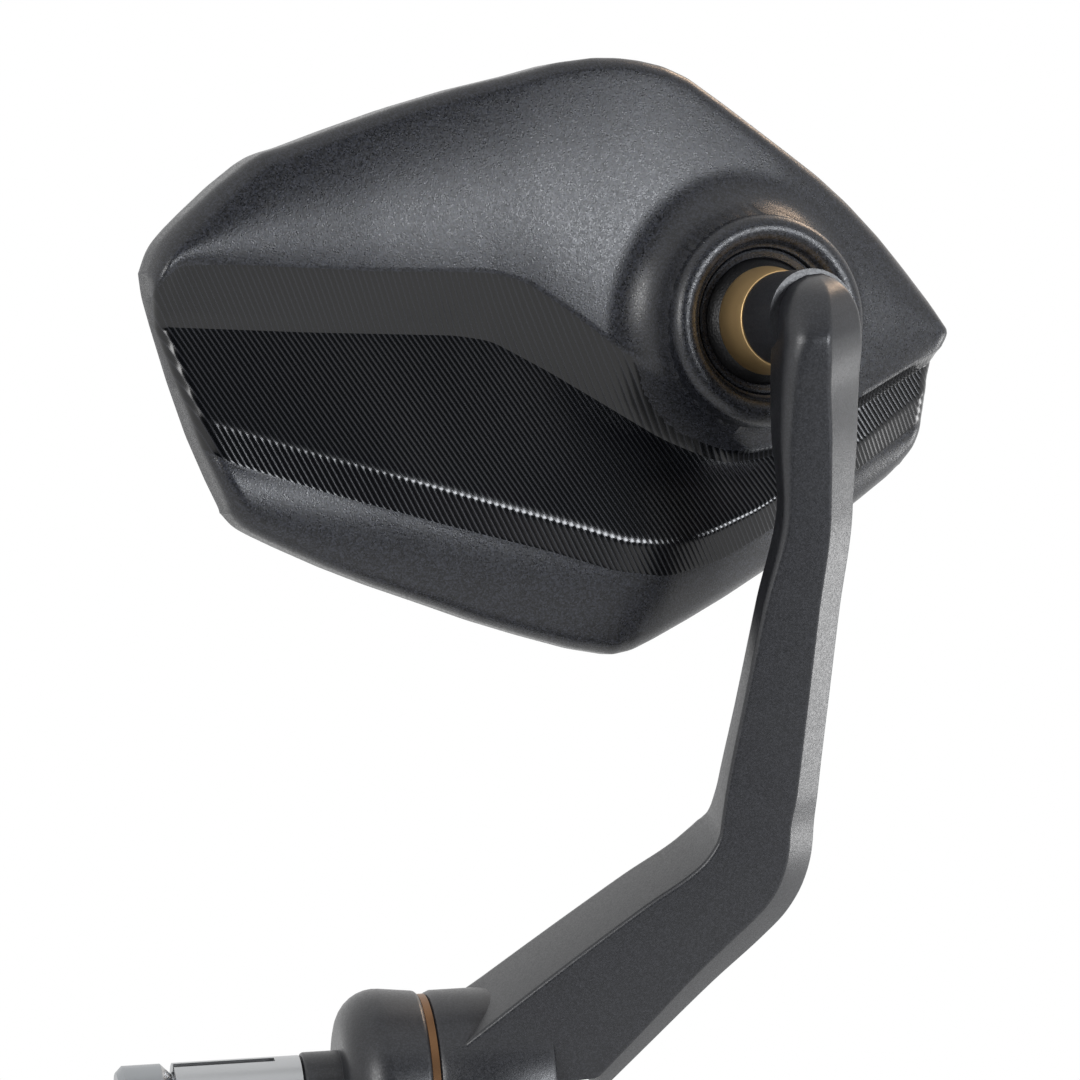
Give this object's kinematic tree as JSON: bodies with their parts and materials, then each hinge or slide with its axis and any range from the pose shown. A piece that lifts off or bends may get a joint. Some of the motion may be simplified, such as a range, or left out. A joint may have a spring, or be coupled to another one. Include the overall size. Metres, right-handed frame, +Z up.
{
  "type": "motorcycle bar end mirror",
  "caption": "Left-hand motorcycle mirror on a swan-neck arm that clamps into the handlebar's end; the head turns on a ball joint.",
  "frame": {"origin": "centre of the adapter's seat on the handlebar's end, on the bar's axis", "axes": "+X outboard along the handlebar, +Z up, -Y forward, away from the rider"},
  "size_m": [0.1413, 0.0679, 0.1751],
  "materials": {
    "black_anodised": "blasted and black anodised, milled facets glossy",
    "bare_aluminium": "turned",
    "zinc_steel": "zinc plated",
    "brass": "turned",
    "friction_bronze": "sintered bronze, matte",
    "black_rubber": "matte",
    "cream_acetal": "moulded",
    "foam_tape": "closed-cell foam",
    "mirror_glass": "convex, silvered"
  },
  "bodies": {
    "bar_mount": {"bar_adapter": "black_anodised", "expander_sleeve": "bare_aluminium", "expander_cone": "zinc_steel", "clamp_bolt": "zinc_steel", "bolt_washer": "zinc_steel", "spring_washer": "zinc_steel", "friction_washer": "friction_bronze"},
    "swing_arm": {"arm": "black_anodised", "hub_bush": "brass", "hub_cap": "black_anodised", "cap_seal": "black_rubber", "stud_grub_screw": "zinc_steel"},
    "ball": {"ball_stud": "brass"},
    "cup": {"socket_cup": "black_anodised"},
    "head": {"head_housing": "black_anodised", "thrust_ring": "cream_acetal", "disc_spring": "zinc_steel", "clamp_plate": "zinc_steel", "clamp_screws": "zinc_steel", "glass_pad": "foam_tape", "mirror_glass": "mirror_glass", "rim_gasket": "black_rubber"}
  },
  "joints": [
    {"name": "arm_swivel", "type": "hinge", "parent": "bar_mount", "child": "swing_arm", "pos_m": [0.022, 0, 0], "axis": [1, 0, 0], "continuous": true},
    {"name": "head_roll", "type": "hinge", "parent": "swing_arm", "child": "ball", "pos_m": [0.07, 0.025, 0.1165], "axis": [0.25, -0.933, 0.2588], "range_deg": [-90, 35]},
    {"name": "head_pan", "type": "hinge", "parent": "ball", "child": "cup", "pos_m": [0.07, 0.025, 0.1165], "axis": [-0.067, 0.25, 0.9659], "range_deg": [-10, 10]},
    {"name": "head_tilt", "type": "hinge", "parent": "cup", "child": "head", "pos_m": [0.07, 0.025, 0.1165], "axis": [0.9659, 0.2588, 0], "range_deg": [-10, 10]}
  ]
}
